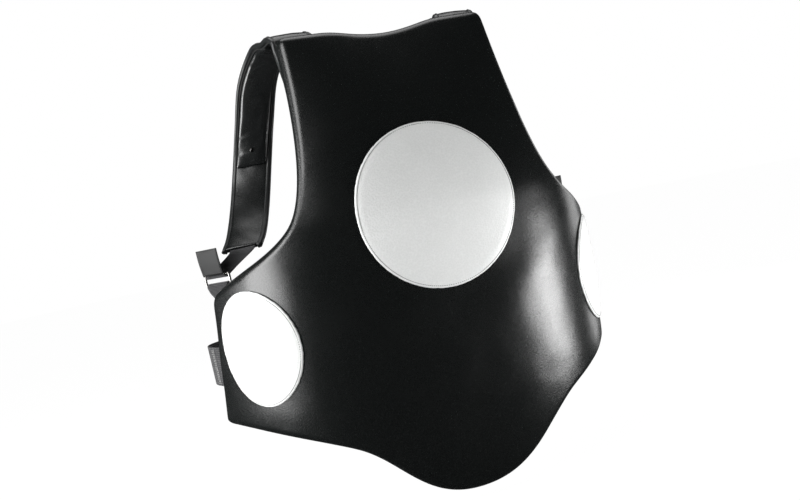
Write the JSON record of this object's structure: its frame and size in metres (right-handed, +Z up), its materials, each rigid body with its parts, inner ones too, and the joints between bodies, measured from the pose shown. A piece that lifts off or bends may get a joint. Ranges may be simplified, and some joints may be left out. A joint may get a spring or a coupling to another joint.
{
  "type": "trainer body vest",
  "caption": "Padded trainer's vest for chest, belly and flanks, with round strike discs, shoulder straps over rings with fold-back flaps, and an elastic waist belt.",
  "frame": {"origin": "midway between the shoulders, at the height where the straps rest on them", "axes": "+Z up, the strike face towards -Y, the wearer's left towards +X"},
  "size_m": [0.626, 0.3567, 0.6624],
  "materials": {
    "black_leather": "satin, fine grain",
    "silver_leather": "semi-gloss coated, fine grain",
    "lining_cloth": "matt coated cloth",
    "dense_foam": "closed-cell foam",
    "soft_foam": "open-cell foam",
    "black_webbing": "woven",
    "ribbed_elastic": "ribbed weave",
    "hook_and_loop": "brushed pile",
    "nickel_steel": "polished"
  },
  "bodies": {
    "vest": {"outer_cover": "black_leather", "impact_foam": "dense_foam", "comfort_foam": "soft_foam", "inner_lining": "lining_cloth", "front_disc": "silver_leather", "left_flank_disc": "silver_leather", "right_flank_disc": "silver_leather", "neck_piping": "black_leather", "hem_piping": "black_leather", "left_armhole_piping": "black_leather", "left_rear_piping": "black_leather", "left_strap_cover": "black_leather", "left_strap_foam": "soft_foam", "left_strap_lining": "lining_cloth", "left_strap_outer_binding": "black_leather", "left_strap_inner_binding": "black_leather", "left_shoulder_sleeve": "black_leather", "left_sleeve_rivet": "nickel_steel", "left_strap_loop_patch": "hook_and_loop", "left_strap_webbing": "black_webbing", "left_ring_anchor": "black_webbing", "right_armhole_piping": "black_leather", "right_rear_piping": "black_leather", "right_strap_cover": "black_leather", "right_strap_foam": "soft_foam", "right_strap_lining": "lining_cloth", "right_strap_outer_binding": "black_leather", "right_strap_inner_binding": "black_leather", "right_shoulder_sleeve": "black_leather", "right_sleeve_rivet": "nickel_steel", "right_strap_loop_patch": "hook_and_loop", "right_strap_webbing": "black_webbing", "right_ring_anchor": "black_webbing", "belt_anchor": "black_webbing", "belt_anchor_end": "black_webbing", "belt_loop_patch": "hook_and_loop"},
    "waist_belt": {"waist_belt": "ribbed_elastic"},
    "belt_tab": {"belt_hook_tab": "hook_and_loop", "belt_pull_tab": "black_leather"},
    "left_ring": {"left_ring": "nickel_steel"},
    "left_flap": {"left_flap": "black_leather", "left_flap_hook": "hook_and_loop"},
    "right_ring": {"right_ring": "nickel_steel"},
    "right_flap": {"right_flap": "black_leather", "right_flap_hook": "hook_and_loop"}
  },
  "joints": [
    {"name": "belt_swing", "type": "hinge", "parent": "vest", "child": "waist_belt", "pos_m": [-0.28492, 0.0778, -0.434], "axis": [0, 0, 1], "range_deg": [0, 90]},
    {"name": "belt_tab_peel", "type": "hinge", "parent": "waist_belt", "child": "belt_tab", "pos_m": [0.28492, 0.0778, -0.434], "axis": [0, 0, -1], "range_deg": [0, 60]},
    {"name": "left_flap_peel", "type": "hinge", "parent": "vest", "child": "left_flap", "pos_m": [0.27555, 0.06673, -0.29691], "axis": [0.722, 0.6919, 0], "range_deg": [-12, 110]},
    {"name": "left_ring_rock", "type": "hinge", "parent": "vest", "child": "left_ring", "pos_m": [0.27555, 0.06673, -0.31341], "axis": [0.722, 0.6919, 0], "range_deg": [-3, 3]},
    {"name": "right_flap_peel", "type": "hinge", "parent": "vest", "child": "right_flap", "pos_m": [-0.27555, 0.06673, -0.29691], "axis": [0.722, -0.6919, 0], "range_deg": [-12, 110]},
    {"name": "right_ring_rock", "type": "hinge", "parent": "vest", "child": "right_ring", "pos_m": [-0.27555, 0.06673, -0.31341], "axis": [0.722, -0.6919, 0], "range_deg": [-3, 3]}
  ]
}
